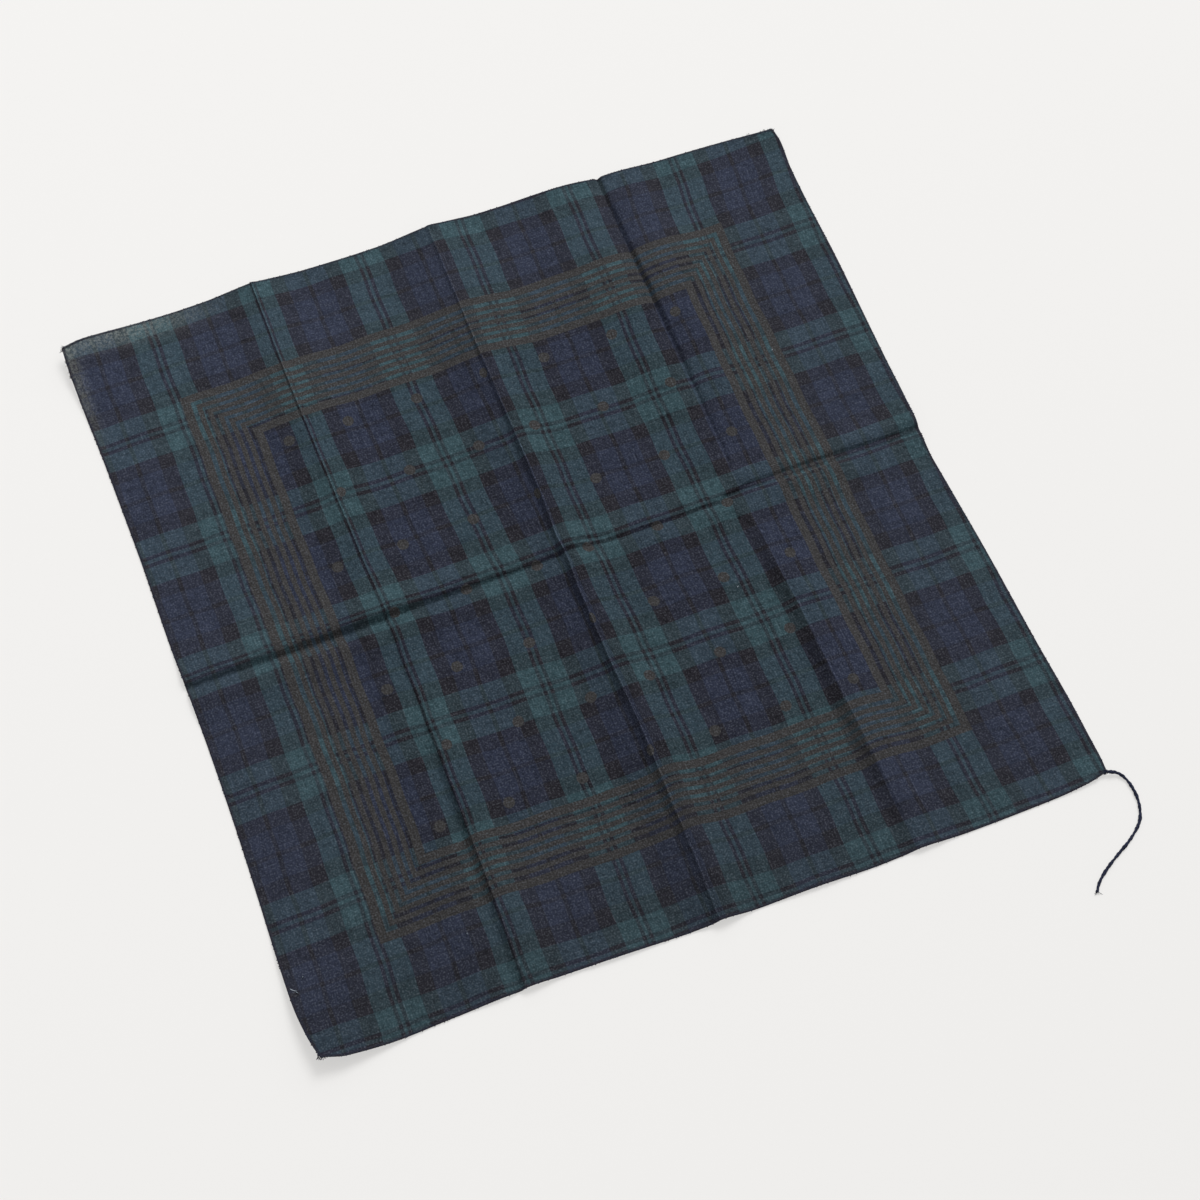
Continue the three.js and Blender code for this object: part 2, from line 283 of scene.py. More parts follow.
@dataclass(frozen=True)
class Table:
    """Rows of numbers that are read smoothly between their places, without overshoot.

    Attributes:
        rows: The rows, each a place and its numbers, in order of place.
        names: What each column after the place holds, where there is more than one.
    """

    rows: tuple[tuple[float, ...], ...]
    names: tuple[str, ...] = ("",)

    def read(self, place: Array | float, name: str = "") -> Array:
        """Reads one column.

        Args:
            place: Where it is read.
            name: The column, where there is more than one.

        Returns:
            The numbers there.
        """
        column = 1 + self.names.index(name)
        at = np.array([row[0] for row in self.rows])
        level = np.array([row[column] for row in self.rows])
        rise = np.diff(level) / np.diff(at)
        slope = np.concatenate(([rise[0]], np.zeros(len(at) - 2), [rise[-1]]))
        for i in range(1, len(at) - 1):
            if rise[i - 1] * rise[i] > 0:
                slope[i] = 2 * rise[i - 1] * rise[i] / (rise[i - 1] + rise[i])
        place = np.clip(np.asarray(place, float), at[0], at[-1])
        row = np.clip(np.searchsorted(at, place, side="right") - 1, 0, len(at) - 2)
        step = at[row + 1] - at[row]
        t = (place - at[row]) / step
        ease = t * t * (3 - 2 * t)
        lean = slope[row] * t * (1 - t) ** 2 - slope[row + 1] * t * t * (1 - t)
        return level[row] * (1 - ease) + level[row + 1] * ease + lean * step


LEFT_EDGE = Table((
    (-261.6, -259.6), (-245, -262.8), (-225, -264.2), (-200, -263.5), (-150, -261.2),
    (-85, -259.0), (-35, -258.3), (20, -258.8), (100, -257.7), (164, -258.0), (215, -259.1),
    (240, -259.4), (257.2, -258.8),
))
RIGHT_EDGE = Table((
    (-262.4, 263.2), (-250, 264.1), (-222, 264.0), (-159, 261.5), (-96, 259.6), (-43, 257.0),
    (-8, 255.5), (20, 256.6), (50, 258.0), (93, 258.8), (155, 260.0), (197, 259.6), (228, 260.1),
    (249, 261.7), (261.6, 260.1),
))
NEAR_EDGE = Table((
    (-259.6, -261.4), (-243, -265.5), (-220, -266.2), (-180, -264.7), (-119, -263.6),
    (-60, -265.1), (-5, -266.5), (57, -266.9), (100, -267.7), (128, -267.1), (170, -267.7),
    (225, -266.9), (248, -265.3), (263.2, -262.4),
))
FAR_EDGE = Table((
    (-258.8, 257.2), (-242, 260.5), (-212, 261.9), (-160, 264.0), (-119, 265.3), (-60, 265.0),
    (4, 266.9), (66, 267.7), (97, 266.7), (128, 265.2), (180, 265.5), (225, 264.7), (243, 263.2),
    (260.1, 261.6),
))

CREASE = (
    *("line", "crest", "hump_low", "hump_high", "reach_low", "reach_high"),
    *("wall", "wall_low", "wall_high"),
)
LEFT_CREASE = Table((
    (-265, -129.6, 0.4, 1, 1, 36, 40, 2.8, 5.4, 24),
    (-200, -127.4, 0.6, 1.6, 1.4, 36, 40, 3.9, 6.2, 24),
    (-140, -126, 0.6, 1.6, 1.2, 34, 36, 3.8, 5.8, 24),
    (-65, -124, 0.4, 0.8, 0.8, 30, 32, 1.9, 3.4, 20),
    (0, -123.6, 0.6, 0.5, 0.5, 28, 28, 1, 2.6, 16),
    (55, -124.2, 2, 0, 0, 28, 32, 1.1, 1.7, 5),
    (105, -125, 3.2, 0, 0, 30, 38, 0.9, 1.6, 5),
    (175, -125.7, 4, 0, 0, 32, 44, 1.2, 1.5, 5),
    (264, -124.4, 3.8, 0, 0, 36, 40, 1.1, 1.5, 5),
), CREASE)
MIDDLE_CREASE = Table((
    (-266, -4.6, 1.4, 0, 1.2, 14, 30, 3, 7, 20),
    (-225, -3.4, 2.8, 0, 1.8, 15, 32, 4.1, 8, 24),
    (-185, -2.8, 3.4, 0, 2, 15, 32, 4.5, 8.4, 24),
    (-130, -1.7, 2.8, 0, 1.9, 16, 32, 4.8, 8, 26),
    (-78, -2.4, 1.8, 0, 1.4, 18, 34, 4.9, 6.4, 28),
    (-30, -2.2, 1.6, 0, 1.4, 18, 34, 5.3, 6.4, 28),
    (0, -0.9, 1.6, 0, 1.2, 18, 34, 4.5, 5.8, 26),
    (8, -2, 2, 0, 1.2, 18, 34, 4.4, 5.8, 26),
    (40, 0, 2.6, 0, 1.4, 22, 34, 4.2, 5.4, 22),
    (95, 0.5, 3.6, 0, 1.4, 26, 34, 3.4, 4.6, 18),
    (175, 1.2, 4.4, 0, 1.4, 30, 40, 2.2, 3.6, 14),
    (266, 3, 4.2, 0, 0.8, 36, 40, 1.2, 3.2, 12),
), CREASE)
RIGHT_CREASE = Table((
    (-266, 131.4, 2.4, 0, 0.4, 11, 30, 0, 0.6, 1),
    (-205, 129.6, 5, 0, 0.8, 10.5, 34, 0, 0.6, 1),
    (-165, 128.2, 5.4, 0, 1, 10.5, 36, 0, 0.6, 1),
    (-95, 127.2, 5.2, 0, 1, 10, 34, 0, 0.6, 1),
    (-35, 125.2, 3.8, 0, 0.8, 9.5, 30, 0, 0.6, 1),
    (0, 125, 1, 0.4, 0.5, 16, 26, 0, 0.6, 1),
    (40, 126.6, 1, 0.6, 0.8, 34, 34, -0.8, 2.4, 2.6),
    (95, 126.9, 1.8, 1.6, 2, 40, 40, -1.4, 3, 3.4),
    (175, 126.8, 2.8, 2.8, 3.4, 66, 62, -2.6, 3.4, 4),
    (265, 127.6, 2.4, 2.4, 1.6, 70, 50, -2.2, 3.4, 4),
), CREASE)
CROSS_CREASE = Table((
    (-259, -0.8, 0, 2, 1.2, 30, 34, 2.6, 4, 16),
    (-225, 0.2, 0, 2.4, 1.6, 31, 35, 3.2, 4.6, 16),
    (-175, 0.8, 0, 2.8, 1.8, 32, 36, 4.2, 5, 18),
    (-130, 1.5, 0, 2.8, 1.8, 30, 34, 4.8, 5.2, 18),
    (-90, 2.5, 0, 2.2, 1.4, 28, 30, 3.6, 4.6, 18),
    (-40, 2.6, 0, 1.6, 1, 28, 28, 2.2, 3.6, 16),
    (-6, 2.9, 0, 1.2, 0.8, 26, 26, 1.7, 3.4, 14),
    (60, 2.6, 0, 1.2, 0.8, 26, 26, 1.7, 3.4, 14),
    (104, 3.2, 0, 1.2, 0.8, 24, 24, 1.7, 3.4, 14),
    (135, 9, 0, 1.2, 0.8, 24, 24, 1.7, 3, 14),
    (165, 9.8, 0, 1.4, 1, 24, 24, 1.8, 3.2, 14),
    (210, 9.2, 0, 1.4, 1, 24, 24, 2, 3, 14),
    (259, 8, 0, 1.2, 1.2, 22, 24, 1.6, 2.8, 14),
), CREASE)


@dataclass(frozen=True)
class Lift:
    """A corner or a stretch of edge that curls up off the surface.

    Attributes:
        x: Where it is highest.
        y: The same, away from the near edge.
        height: How high it would be there.
        reach_x: How far it reaches along X.
        reach_y: How far it reaches along Y.
    """

    x: float
    y: float
    height: float
    reach_x: float
    reach_y: float

    def rise(self, x: Array, y: Array) -> Array:
        """How high it lifts the cloth at each place."""
        return self.height * bell(x - self.x, self.reach_x) * bell(y - self.y, self.reach_y)


LIFTS = (
    Lift(-282, -282, 12.5, 90, 120),
    Lift(-282, 276, 11, 110, 80),
    Lift(282, 280, 5, 60, 60),
    Lift(280, -284, 3, 62, 62),
    Lift(262, 22, 3, 44, 40),
    Lift(-75, -276, 2, 46, 34),
    Lift(60, -276, 1.8, 40, 30),
)


def bell(offset: Array, reach: float) -> Array:
    """A round swelling, 1 in the middle and nothing at its reach."""
    t = np.maximum(0, 1 - np.abs(offset) / reach)
    return t * t * (3 - 2 * t)


@dataclass(frozen=True)
class Wrinkle:
    """A soft ridge or trough between two places, tapered to nothing at both ends.

    Attributes:
        start: Where it begins.
        end: Where it ends.
        height: How high it stands, or how deep it is where this is negative.
        width: How far it reaches to either side.
        bow: How far its middle stands off the straight line, to its left.
    """

    start: tuple[float, float]
    end: tuple[float, float]
    height: float
    width: float
    bow: float = 0.0

    def rise(self, x: Array, y: Array) -> Array:
        """How high it lifts the cloth at each place."""
        run_x, run_y = self.end[0] - self.start[0], self.end[1] - self.start[1]
        length = math.hypot(run_x, run_y)
        share = ((x - self.start[0]) * run_x + (y - self.start[1]) * run_y) / length**2
        off = ((y - self.start[1]) * run_x - (x - self.start[0]) * run_y) / length
        inside = np.clip(share, 0, 1)
        taper = np.sin(math.pi * inside) ** 0.8
        return self.height * taper * bell(off - self.bow * 4 * inside * (1 - inside), self.width)


WRINKLES = (
    Wrinkle((104, 3.4), (262, 2.8), -2.3, 2),
    Wrinkle((8, 6.0), (32, 2.6), -1.0, 2.6),
    Wrinkle((-36, -18), (-4, -46), 0.7, 3.4, 1.5),
    Wrinkle((-26, -34), (-6, -60), 0.6, 3.0, -1.0),
    Wrinkle((-22, -6), (-5, -24), -0.6, 3.0),
    Wrinkle((10, -22), (30, -46), 0.6, 3.4),
    Wrinkle((32, -44), (52, -68), 0.5, 3.0, 1.0),
    Wrinkle((58, -32), (92, -76), 0.5, 3.6, -2.0),
    Wrinkle((12, -66), (34, -84), -0.4, 3.0),
    Wrinkle((108, -4), (124, -26), -0.7, 3.0),
    Wrinkle((-30, 132), (-6, 118), 0.6, 3.4),
    Wrinkle((-26, 96), (-5, 80), 0.6, 3.2),
    Wrinkle((6, 128), (30, 140), 0.4, 3.0),
    Wrinkle((-158, -12), (-132, -22), 0.5, 3.4),
    Wrinkle((-118, -8), (-90, -16), 0.5, 3.4, 1.0),
    Wrinkle((-262.5, -224), (-257, -243), -0.8, 2.4, 1.5),
    Wrinkle((140, 22), (176, 34), 0.5, 4.0),
    Wrinkle((186, -6), (230, -16), 0.4, 4.0, 1.0),
)


@dataclass(frozen=True)
class Relief:
    """How high the cloth lies: its creases, its curling corners and its small wrinkles.

    Attributes:
        upright: The creases that run away from the near edge.
        cross: The crease that runs along X.
        lifts: Where the cloth curls up.
        wrinkles: The small ridges and troughs.
    """

    upright: tuple[Table, ...] = (LEFT_CREASE, MIDDLE_CREASE, RIGHT_CREASE)
    cross: Table = CROSS_CREASE
    lifts: tuple[Lift, ...] = LIFTS
    wrinkles: tuple[Wrinkle, ...] = WRINKLES

    @staticmethod
    def crease(rows: Table, along: Array, across: Array, sharp: bool = True) -> Array:
        """Height that one crease gives the cloth.

        Args:
            rows: The crease.
            along: How far along it each place is.
            across: How far across.
            sharp: Whether its wall meets the top in an edge, or rounds over.

        Returns:
            The heights.
        """
        offset = across - rows.read(along, "line")
        low = offset < 0
        foot, reach, hump = (
            np.where(low, rows.read(along, f"{part}_low"), rows.read(along, f"{part}_high"))
            for part in ("wall", "reach", "hump")
        )
        beyond = np.maximum(np.abs(offset) - np.where(low, foot, 0), 0)
        t = np.minimum(beyond / reach, 1)
        fall = (1 - t) ** 2
        near = np.maximum(1 - np.abs(offset) / foot, 0)
        rounded = near * near * (3 - 2 * near)
        wall = rows.read(along, "wall") * np.where(low & sharp, near**2, rounded)
        return rows.read(along, "crest") * fall * (1 + t) + hump * 6.75 * t * fall + wall

    def height(self, x: Array, y: Array) -> Array:
        """Height of the underside of the cloth above the surface it lies on.

        Args:
            x: Places along X.
            y: Places along Y.

        Returns:
            The heights.
        """
        height = self.crease(self.cross, x, y, sharp=False)
        for rows in self.upright:
            height = height + self.crease(rows, y, x)
        for swelling in (*self.lifts, *self.wrinkles):
            height = height + swelling.rise(x, y)
        return np.maximum(height, 0)


LEFT_TAKE_UP = Table((
    (-262, 0.6), (-183, 2.5), (-120, 3.25), (-57, 2.65), (5, 2.45), (37, 3.65), (68, 5.05),
    (100, 6.05), (160, 7.45), (262, 7.25),
))
MIDDLE_TAKE_UP = Table((
    (-262, 6.15), (-183, 7.55), (-120, 8.75), (-88, 9.75), (-57, 11.55), (-26, 12.85),
    (5, 13.15), (37, 12.05), (68, 10.55), (99, 9.35), (130, 8.15), (161, 6.75), (223, 5.25),
    (262, 4.75),
))
RIGHT_TAKE_UP = Table((
    (-262, -1.2), (-183, 1.6), (-151, 2.2), (-120, 2.8), (-57, 2.3), (5, 0.7), (37, 0.5),
    (99, 1.2), (161, 2.5), (192, 2.6), (262, -0.8),
))
CROSS_TAKE_UP = Table((
    (-258, 4.2), (-157, 5.4), (-95, 4.0), (-33, 1.6), (0, 1.2), (60, 1.6), (122, 1.7),
    (154, 1.0), (258, 0.8),
))
COLUMN_SWAY = Table((
    (-262, -0.77), (-183, 0.03), (-120, 0.53), (-57, 0.73), (5, 0.03), (68, -1.17), (130, -1.57),
    (192, -0.87), (262, 0.53),
))
ROW_BOW = Table((
    (-258, 2.7), (-157, 0.6), (-60, 0.4), (0, 0.8), (60, 1.6), (122, 2.0), (185, 2.3),
    (258, 2.4),
))


@dataclass(frozen=True)
class Cut:
    """The cloth as it was woven and cut, before it was creased: which place lies where.

    Attributes:
        relief: The shape that it now lies in.
        spread: How far from a crease's line the cloth that stands up in it is taken from.
        cross_spread: The same for the crease along X.
        wander: How far the yarns stray from straight.
        pulls: How far the cloth is drawn along Y at its far left and far right corner.
    """

    relief: Relief
    spread: tuple[tuple[float, float], ...] = ((12, 12), (8, 11), (12, 12))
    cross_spread: float = 8
    pulls: tuple[float, float] = (2.4, -4.2)
    wander: float = 0.3

    @staticmethod
    def passed(offset: Array, low: float, high: float) -> Array:
        """Share of a crease's cloth that lies before each place this far past its line."""
        t = np.clip(offset / np.where(offset < 0, low, high), -1, 1)
        return 0.5 + 0.5 * np.sign(t) * (1 - (1 - np.abs(t)) ** 2)

    def place(self, x: Array, y: Array) -> tuple[Array, Array]:
        """Finds where on the cut cloth each place of the laid cloth comes from.

        Args:
            x: Places along X.
            y: Places along Y.

        Returns:
            Both places on the cut cloth.
        """
        left, middle, right = (
            self.passed(x - rows.read(y, "line"), *spread)
            for rows, spread in zip(self.relief.upright, self.spread, strict=True)
        )
        u = x - COLUMN_SWAY.read(y) + MIDDLE_TAKE_UP.read(y) * (middle - 0.5)
        u = u - LEFT_TAKE_UP.read(y) * (1 - left) + RIGHT_TAKE_UP.read(y) * right
        past = y - self.relief.cross.read(x, "line")
        cross = self.passed(past, self.cross_spread, self.cross_spread)
        v = y + ROW_BOW.read(x) + CROSS_TAKE_UP.read(x) * (cross - 0.5)
        for corner, pull in zip((-262, 262), self.pulls, strict=True):
            v = v + pull * bell(x - corner, 100) * bell(y - 262, 120)
        stray_u = np.sin(0.15 * v + 1.4 * np.sin(0.031 * u))
        stray_u += 0.6 * np.sin(0.047 * v + 0.021 * u + 1)
        stray_v = np.sin(0.14 * u + 1.2 * np.sin(0.027 * v) + 2)
        stray_v += 0.6 * np.sin(0.052 * u - 0.019 * v)
        return u + self.wander * stray_u, v + self.wander * stray_v


# ---- Finishes ----


class Yarn(Enum):
    """The colours that the cloth is woven from, as (warp, weft) in linear light."""

    GREEN = ((0.0318, 0.0632, 0.0740), (0.0324, 0.0596, 0.0712))
    DARK = ((0.0161, 0.0140, 0.0180), (0.0167, 0.0175, 0.0234))
    NAVY = ((0.0238, 0.0282, 0.0507), (0.0232, 0.0291, 0.0483))


SETT = (
    *(Yarn.GREEN, Yarn.DARK, Yarn.GREEN, Yarn.DARK, Yarn.GREEN),
    *(Yarn.DARK, Yarn.NAVY, Yarn.DARK, Yarn.NAVY, Yarn.DARK),
)


@dataclass(frozen=True)
class Stripes:
    """One direction's run of stripes, repeated over the cloth.

    Attributes:
        start: Where a repeat begins.
        ends: Where each stripe of a repeat ends.
        yarns: Each stripe's yarn.
        blur: How far one stripe takes to turn into the next.
    """

    start: float
    ends: tuple[float, ...]
    yarns: tuple[Yarn, ...] = SETT
    blur: float = 0.3

    def colour(self, board: Board, place: Value, side: int) -> NodeSocket:
        """Colours the yarns that run one way.

        Args:
            board: The material's nodes.
            place: How far across the cloth, in millimetres from the repeat's start.
            side: 0 for warp and 1 for weft.

        Returns:
            The colour.
        """
        repeat = self.ends[-1]
        stops = [(0.0, self.yarns[0].value[side])]
        after = (*self.yarns[1:], self.yarns[0])
        for yarn, following, end in zip(self.yarns, after, self.ends, strict=True):
            stops.append(((end - self.blur / 2) / repeat, yarn.value[side]))
            if end < repeat:
                stops.append(((end + self.blur / 2) / repeat, following.value[side]))
        return board.ramp(stops, (place / repeat).math("FRACT"))


WARP = Stripes(91.6, (11.4, 13.8, 15.8, 18.3, 30.0, 40.0, 53.1, 56.0, 68.6, 78.8))
WEFT = Stripes(-67.4, (12.7, 15.5, 18.0, 20.8, 34.0, 44.2, 59.7, 62.7, 77.0, 88.9))


@dataclass(frozen=True)
class Print:
    """The printed square frame of nested lines, and the dots inside it.

    Attributes:
        centre: Its middle on the cut cloth.
        turn: How far it is turned, as rise over run.
        frame_out: Half the frame's outer width.
        frame_in: Half its inner width.
        thick: Width of the outermost and innermost lines.
        thin: Width of the lines between them.
        pitch: From one thin line to the next.
        first_thin: From the outer edge to the first thin line.
        dot: A dot's radius.
        dot_pitch: From one dot to the next, both ways.
        dots_out: How far the dots go from the middle, counted in dots.
        soft: How far an edge of the ink takes to fade.
        ink: The ink's colour in linear light.
    """

    centre: tuple[float, float] = (-2.7, -1.0)
    turn: float = 0.0085
    frame_out: float = 204.0
    frame_in: float = 160.3
    thick: float = 5.75
    thin: float = 3.3
    pitch: float = 5.76
    first_thin: float = 8.72
    dot: float = 3.8
    dot_pitch: float = 48.95
    dots_out: float = 3.2
    soft: float = 0.5
    ink: Triple = linear(56.5, 55.6, 56)

    def mask(self, board: Board, u: Value, v: Value, place: object) -> tuple[Value, Value]:
        """Finds where the ink lies.

        Args:
            board: The material's nodes.
            u: Place across the cut cloth.
            v: Place up it.
            place: The same as a vector.

        Returns:
            How much ink there is, from 0 to 1, and how far out of the frame a place lies.
        """
        across = u - self.centre[0]
        up = v - self.centre[1] - across * self.turn
        ragged = (board.noise(place, 1.0, 1.0) - 0.5) * 0.9
        out = abs(across).math("MAXIMUM", abs(up))
        edge = out + ragged
        soft = self.soft
        band = (edge - self.frame_in).clear_of(0, soft) * (1 - edge.clear_of(self.frame_out, soft))
        from_out = self.frame_out - edge
        to_line = abs((from_out - self.first_thin - self.thin / 2).math("PINGPONG", self.pitch / 2))
        thin = 1 - to_line.clear_of(self.thin / 2, soft)
        inner = self.frame_out - self.frame_in - self.thick
        thick = 1 - from_out.clear_of(self.thick, soft)
        thick = thick.math("MAXIMUM", from_out.clear_of(inner, soft))
        gap = from_out.clear_of(self.first_thin - 0.4, soft)
        gap = gap * (1 - from_out.clear_of(inner - 2.1, soft))
        frame = band * thick.math("MAXIMUM", thin * gap)
        row = (up / self.dot_pitch).math("ROUND")
        shift = 0.5 - abs(row).math("MODULO", 2.0) * 0.5
        column = (across / self.dot_pitch + shift).math("ROUND") - shift
        off_u = across - column * self.dot_pitch
        off_v = up - row * self.dot_pitch
        off = (off_u * off_u + off_v * off_v).math("SQRT") + ragged
        inside = (abs(row) < self.dots_out) * (abs(column) < self.dots_out)
        dots = (1 - off.clear_of(self.dot, soft)) * inside
        return frame.math("MAXIMUM", dots), out


@dataclass(frozen=True)
class TartanFinish:
    """Thin woven cotton: striped yarns crossing, a faded print, slubs and a little fuzz, with
    painted light and shade.

    Attributes:
        thread: Width of one thread.
        hem: The thread that the edge is bound with, in linear light.
        haze: What the dye has lost outside the printed frame, in linear light.
        painted_glow: A painted glow, the pale colour painted where light falls on the lifted far
            left corner and shows through the thin cloth.
    """

    thread: float = 0.42
    hem: Triple = linear(42, 42, 52)
    haze: Triple = (0.0038, 0.0044, 0.0058)
    painted_glow: Triple = (0.30, 0.32, 0.30)
    printed: Print = Print()

    def material(self) -> Material:
        """Builds the cloth's material.

        Returns:
            The material.
        """
        board = Board("bandana_cotton")
        flat = board.node("ShaderNodeUVMap", {"uv_map": "cut_cloth"}).outputs[0]
        flat = board.scaled(flat, 1 / MM)
        u, v, _ = board.split(flat)

        warp = WARP.colour(board, u - WARP.start, 0)
        weft = WEFT.colour(board, WEFT.start - v, 1)
        turn = math.pi / self.thread
        over = (u * turn).math("SINE") * (v * turn).math("SINE")
        cloth = board.mix(0.5 + over * 0.3, warp, weft)

        slubs = board.noise(flat, (1.15, 0.1), 1.0) + board.noise(flat, (0.1, 1.15), 1.0) - 1.0
        streaks = board.noise(flat, (0.42, 0.05), 1.0) + board.noise(flat, (0.05, 0.42), 1.0) - 1.0
        specks = board.noise(flat, 0.9, 0.0, 0.5) - 0.5
        blotches = board.noise(flat, 0.3, 1.0) - 0.5
        wear_and_crest_highlight = board.noise(flat, 0.045, 1.0) - 0.5
        bright = 1.0 + slubs * 0.35 + streaks * 0.25 + specks * 0.5 + blotches * 0.6 + wear_and_crest_highlight * 0.3
        # Painted light and shade: the cloth and its print are made lighter towards the far left and
        # darker towards the near edge and along the middle crease.
        painted_shading = self.stored(board, "painted_shading")
        bright = bright.math("MAXIMUM", 0.25) * painted_shading

        ink, out = self.printed.mask(board, u, v, flat)
        faded = board.scaled(self.haze, out.clear_of(182, 44))
        cloth = board.vector("ADD", board.scaled(cloth, bright), faded)
        thin_ink = 1.2 - specks * 1.3 - blotches * 0.5
        held = ink * thin_ink.math("MINIMUM", 1.0).math("MAXIMUM", 0.3)
        inked = board.scaled(self.printed.ink, (1.0 + slubs * 0.4 + specks * 0.9) * painted_shading)
        colour = board.mix(held, cloth, inked)
        # Painted highlight along the crests of the creases, speckled, with a little pale fuzz added
        # there too.
        crest_highlight = self.stored(board, "wear_and_crest_highlight") * (0.9 + specks * 2.0)
        colour = board.scaled(colour, 1.0 + crest_highlight * 0.45)
        fuzz = (specks + slubs * 0.3 - 0.03).math("MAXIMUM", 0.0) * (0.08 - held * 0.03)
        lint = board.scaled((0.92, 1.0, 1.08), fuzz + crest_highlight * 0.008)
        colour = board.vector("ADD", colour, lint)

        # Painted light: a pale mottled glow painted on the lifted far left corner, where light
        # falls on it and shows through the thin cloth.
        pale = self.stored(board, "pale")
        mottle = board.noise(flat, 0.5, 2.0, 0.9).clear_of(0.52, 0.16)
        colour = board.mix(pale * (0.2 + mottle * 0.8), colour, self.painted_glow)
        colour = board.mix(self.stored(board, "hem") * 0.55, colour, self.hem)

        dents = abs(board.noise(flat, 0.15, 1.0) - 0.5) * 0.8
        crumple = board.noise(flat, 0.11, 3.0, 0.65) * 1.1
        height = crumple + dents - abs(over) * 0.05
        bump = board.node("ShaderNodeBump", {}, {"Strength": 1.0, "Distance": MM, "Height": height})
        shader = {"Base Color": colour, "Roughness": 0.95, "Specular IOR Level": 0.08}
        return board.finish({**shader, "Normal": bump.outputs[0]})

    @staticmethod
    def stored(board: Board, name: str) -> Value:
        """Reads a number that the cloth's mesh keeps at each point."""
        attribute = board.node("ShaderNodeAttribute", {"attribute_name": name})
        return Value(board, attribute.outputs["Fac"])


@dataclass(frozen=True)
class ThreadFinish:
    """Spun sewing thread, slightly uneven.

    Attributes:
        name: The material's name.
        colour: Its colour in linear light.
        fleck: The colour of some of its fibres, in linear light.
    """

    name: str
    colour: Triple
    fleck: Triple

    def material(self) -> Material:
        """Builds the thread's material.

        Returns:
            The material.
        """
        board = Board(self.name)
        place = board.node("ShaderNodeTexCoord").outputs["Object"]
        place = board.scaled(place, 1 / MM)
        spun = board.noise(place, 1.6, 2.0, 0.7, "3D")
        fuzz = board.noise(place, 6.0, 1.0, 0.5, "3D")
        flecks = board.noise(place, 0.35, 2.0, 0.7, "3D").clear_of(0.5, 0.2)
        dyed = board.mix(flecks, self.colour, self.fleck)
        colour = board.scaled(dyed, 0.45 + spun * 1.1)
        bump = board.node(
            "ShaderNodeBump", {}, {"Strength": 0.8, "Distance": MM, "Height": fuzz * 0.12}
        )
        shader = {"Base Color": colour, "Roughness": 0.85, "Specular IOR Level": 0.2}
        return board.finish({**shader, "Normal": bump.outputs[0]})


@dataclass(frozen=True)
class FloorFinish:
    """A plain pale studio surface, lit a little from below like a light table.

    Attributes:
        colour: Its colour in linear light.
        glow: The light that comes through it.
    """

    colour: Triple = (0.30, 0.2975, 0.293)
    glow: Triple = (0.556, 0.549, 0.539)

    def material(self) -> Material:
        """Builds the surface's material.

        Returns:
            The material.
        """
        board = Board("pale_surface")
        place = board.node("ShaderNodeTexCoord").outputs["Object"]
        soft = board.noise(place, 3.0, 1.0)
        colour = board.scaled(self.colour, 0.995 + soft * 0.01)
        across, up, _ = board.split(place)
        tilt = (up * 0.045 - across * 0.03).math("MINIMUM", 0.03).math("MAXIMUM", -0.03)
        glow = board.scaled(self.glow, 1.0 + tilt)
        shader = {"Base Color": colour, "Roughness": 0.9, "Specular IOR Level": 0.1}
        return board.finish({**shader, "Emission Color": glow, "Emission Strength": 1.0})


# ---- Pieces ----


def object_of(name: str, mesh: Mesh, finish: Material) -> Object:
    """Puts a mesh into the scene.

    Args:
        name: The piece's name.
        mesh: Its mesh, in place.
        finish: Its material.

    Returns:
        The piece.
    """
    mesh.name = name
    mesh.materials.append(finish)
    for face in mesh.polygons:
        face.use_smooth = True
    piece = bpy.data.objects.new(name, mesh)
    bpy.context.scene.collection.objects.link(piece)
    return piece


def strands(routes: list[list[tuple[float, float, float, float]]], ring: int) -> Mesh:
    """Makes round strands along lines of points.

    Args:
        routes: For each strand its points, each a place and the strand's radius there.
        ring: Added to the four sides of each strand, two at a time.

    Returns:
        One mesh of all the strands, with closed ends.
    """
    curve = bpy.data.curves.new("strands", "CURVE")
    curve.dimensions = "3D"
    curve.bevel_depth = 1.0
    curve.bevel_resolution = ring
    curve.use_fill_caps = True
    for route in routes:
        spline = curve.splines.new("POLY")
        spline.points.add(len(route) - 1)
        for point, (x, y, z, radius) in zip(spline.points, route, strict=True):
            point.co = (x, y, z, 1.0)
            point.radius = radius
    holder = bpy.data.objects.new("strands", curve)
    bpy.context.scene.collection.objects.link(holder)
    seen = holder.evaluated_get(bpy.context.evaluated_depsgraph_get())
    mesh = bpy.data.meshes.new_from_object(seen)
    bpy.data.objects.remove(holder)
    bpy.data.curves.remove(curve)
    return mesh


